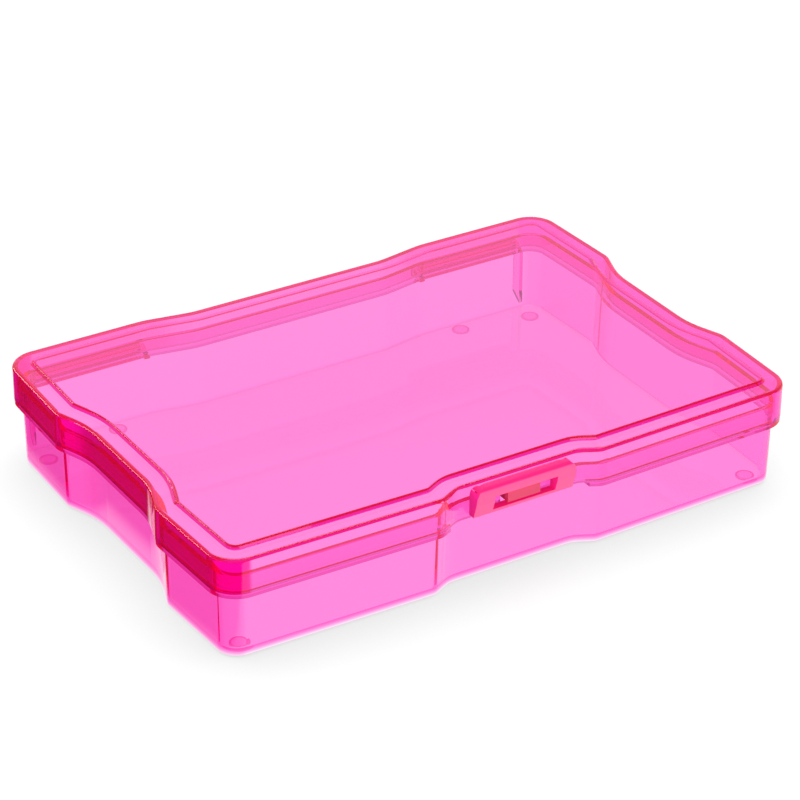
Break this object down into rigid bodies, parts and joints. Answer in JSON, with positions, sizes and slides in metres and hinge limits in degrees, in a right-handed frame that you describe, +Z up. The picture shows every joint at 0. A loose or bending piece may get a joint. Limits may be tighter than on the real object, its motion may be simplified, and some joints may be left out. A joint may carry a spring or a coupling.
{
  "type": "photo keeper case",
  "caption": "Shallow translucent case for photo prints: a floored tray with a hinged lid that closes over its rim and a windowed snap latch in the front recess.",
  "frame": {"origin": "centre of the overall box's bottom face, on the surface that the feet rest on", "axes": "+X across the width to the right seen from the latch, +Y from the latch to the hinges, +Z up from the feet to the lid"},
  "size_m": [0.17, 0.1238, 0.03],
  "materials": {
    "tray_plastic": "smooth translucent hot pink plastic",
    "lid_plastic": "smooth translucent hot pink plastic",
    "latch_plastic": "smooth denser coral pink plastic"
  },
  "bodies": {
    "tray": {"tray": "tray_plastic"},
    "lid": {"lid": "lid_plastic"},
    "latch": {"latch": "latch_plastic"}
  },
  "joints": [
    {"name": "lid_hinge", "type": "hinge", "parent": "tray", "child": "lid", "pos_m": [0, 0.05992, 0.0187], "axis": [-1, 0, 0], "range_deg": [0, 180]},
    {"name": "latch_hinge", "type": "hinge", "parent": "lid", "child": "latch", "pos_m": [0, -0.06008, 0.0273], "axis": [-1, 0, 0], "range_deg": [0, 50]}
  ]
}
